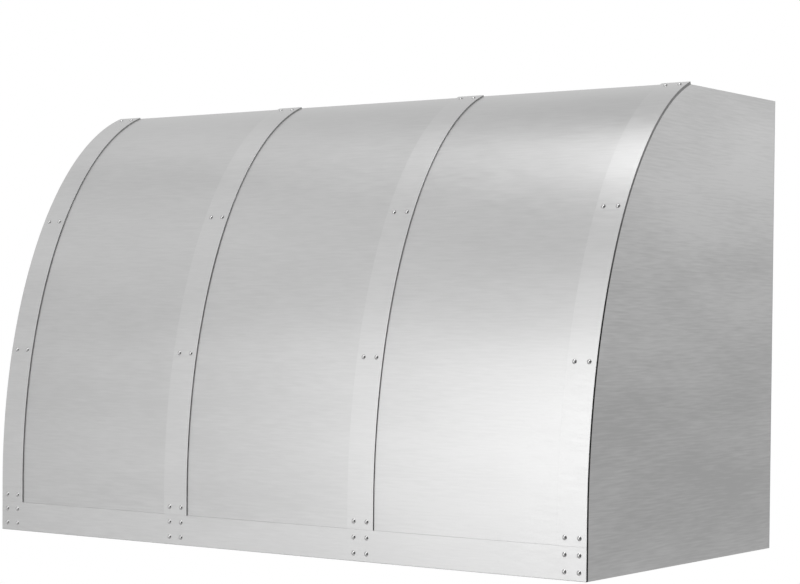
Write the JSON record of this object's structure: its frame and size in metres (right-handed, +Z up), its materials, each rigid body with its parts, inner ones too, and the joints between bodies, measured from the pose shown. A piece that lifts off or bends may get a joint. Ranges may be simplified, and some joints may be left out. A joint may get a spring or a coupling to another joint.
{
  "type": "wall range hood",
  "caption": "Wall-mounted brushed steel range hood with a curved front, riveted straps and bottom band, hinged baffle filters, knobs and lamps below, blower and duct collar inside.",
  "frame": {"origin": "middle of the bottom edge of the back, on the wall plane", "axes": "+X to the right seen from the front, +Y into the wall, +Z up"},
  "size_m": [1.2192, 0.612, 0.762],
  "materials": {
    "shell_steel": "brushed, grain along the width",
    "strap_steel": "brushed, grain along the width",
    "rivet_steel": "polished",
    "liner_steel": "brushed",
    "filter_steel": "satin",
    "spring_steel": "satin",
    "bright_steel": "bright",
    "lens_glass": "frosted",
    "cast_aluminium": "cast",
    "knob_black": "satin",
    "switch_plastic": "matte",
    "galvanised_sheet": "zinc coated",
    "board_green": "lacquered",
    "can_aluminium": "drawn",
    "motor_paint": "semi gloss",
    "winding": "varnished"
  },
  "bodies": {
    "hood": {"front_skin": "shell_steel", "left_side_panel": "shell_steel", "right_side_panel": "shell_steel", "top_panel": "galvanised_sheet", "back_panel": "galvanised_sheet", "bottom_band": "strap_steel", "strap_1": "strap_steel", "strap_2": "strap_steel", "strap_3": "strap_steel", "strap_4": "strap_steel", "strap_rivets": "rivet_steel", "control_panel": "liner_steel", "liner_sides": "liner_steel", "grease_trough": "liner_steel", "filter_hangers": "liner_steel", "filter_clips": "spring_steel", "sheet_screws": "bright_steel", "lamp_bezels": "bright_steel", "lamp_lenses": "lens_glass", "lamp_modules": "cast_aluminium", "fan_switch": "switch_plastic", "light_dimmer": "switch_plastic", "switch_nuts": "bright_steel", "control_housing": "galvanised_sheet", "control_board": "board_green", "junction_box": "galvanised_sheet", "junction_cover": "galvanised_sheet", "cable_gland": "switch_plastic", "motor_capacitor": "can_aluminium", "scroll_housings": "galvanised_sheet", "inlet_rings": "galvanised_sheet", "outlet_box": "galvanised_sheet", "duct_collar": "galvanised_sheet", "damper_pin": "spring_steel", "blower_hangers": "galvanised_sheet", "motor_housing": "motor_paint", "motor_stator": "winding", "motor_bearings": "bright_steel", "motor_cradle": "galvanised_sheet"},
    "fan_rotor": {"motor_rotor": "winding", "motor_shaft": "bright_steel", "left_fan_wheel": "galvanised_sheet", "right_fan_wheel": "galvanised_sheet"},
    "left_flap": {"left_damper_flap": "galvanised_sheet"},
    "right_flap": {"right_damper_flap": "galvanised_sheet"},
    "fan_dial": {"fan_knob": "knob_black", "fan_spindle": "bright_steel"},
    "light_dial": {"light_knob": "knob_black", "light_spindle": "bright_steel"},
    "cup": {"grease_cup": "liner_steel"},
    "filter_1": {"filter_1_frame": "filter_steel", "filter_1_baffles": "filter_steel", "filter_1_handle": "filter_steel"},
    "filter_2": {"filter_2_frame": "filter_steel", "filter_2_baffles": "filter_steel", "filter_2_handle": "filter_steel"},
    "filter_3": {"filter_3_frame": "filter_steel", "filter_3_baffles": "filter_steel", "filter_3_handle": "filter_steel"}
  },
  "joints": [
    {"name": "fan_spin", "type": "hinge", "parent": "hood", "child": "fan_rotor", "pos_m": [0, -0.1604, 0.44163], "axis": [1, 0, 0], "continuous": true},
    {"name": "left_flap_turn", "type": "hinge", "parent": "hood", "child": "left_flap", "pos_m": [0, -0.1524, 0.66163], "axis": [0, 1, 0], "range_deg": [0, 80]},
    {"name": "right_flap_turn", "type": "hinge", "parent": "hood", "child": "right_flap", "pos_m": [0, -0.1524, 0.66163], "axis": [0, -1, 0], "range_deg": [0, 80]},
    {"name": "fan_knob_turn", "type": "hinge", "parent": "hood", "child": "fan_dial", "pos_m": [-0.05, -0.534, 0.03], "axis": [0, 0, -1], "range_deg": [0, 270]},
    {"name": "light_knob_turn", "type": "hinge", "parent": "hood", "child": "light_dial", "pos_m": [0.05, -0.534, 0.03], "axis": [0, 0, -1], "range_deg": [0, 270]},
    {"name": "cup_slide", "type": "slide", "parent": "hood", "child": "cup", "axis": [1, 0, 0], "range_m": [0, 0.1]},
    {"name": "filter_1_turn", "type": "hinge", "parent": "hood", "child": "filter_1", "pos_m": [-0.387, -0.1, 0.055], "axis": [1, 0, 0], "range_deg": [0, 75]},
    {"name": "filter_2_turn", "type": "hinge", "parent": "hood", "child": "filter_2", "pos_m": [0, -0.1, 0.055], "axis": [1, 0, 0], "range_deg": [0, 75]},
    {"name": "filter_3_turn", "type": "hinge", "parent": "hood", "child": "filter_3", "pos_m": [0.387, -0.1, 0.055], "axis": [1, 0, 0], "range_deg": [0, 75]}
  ]
}
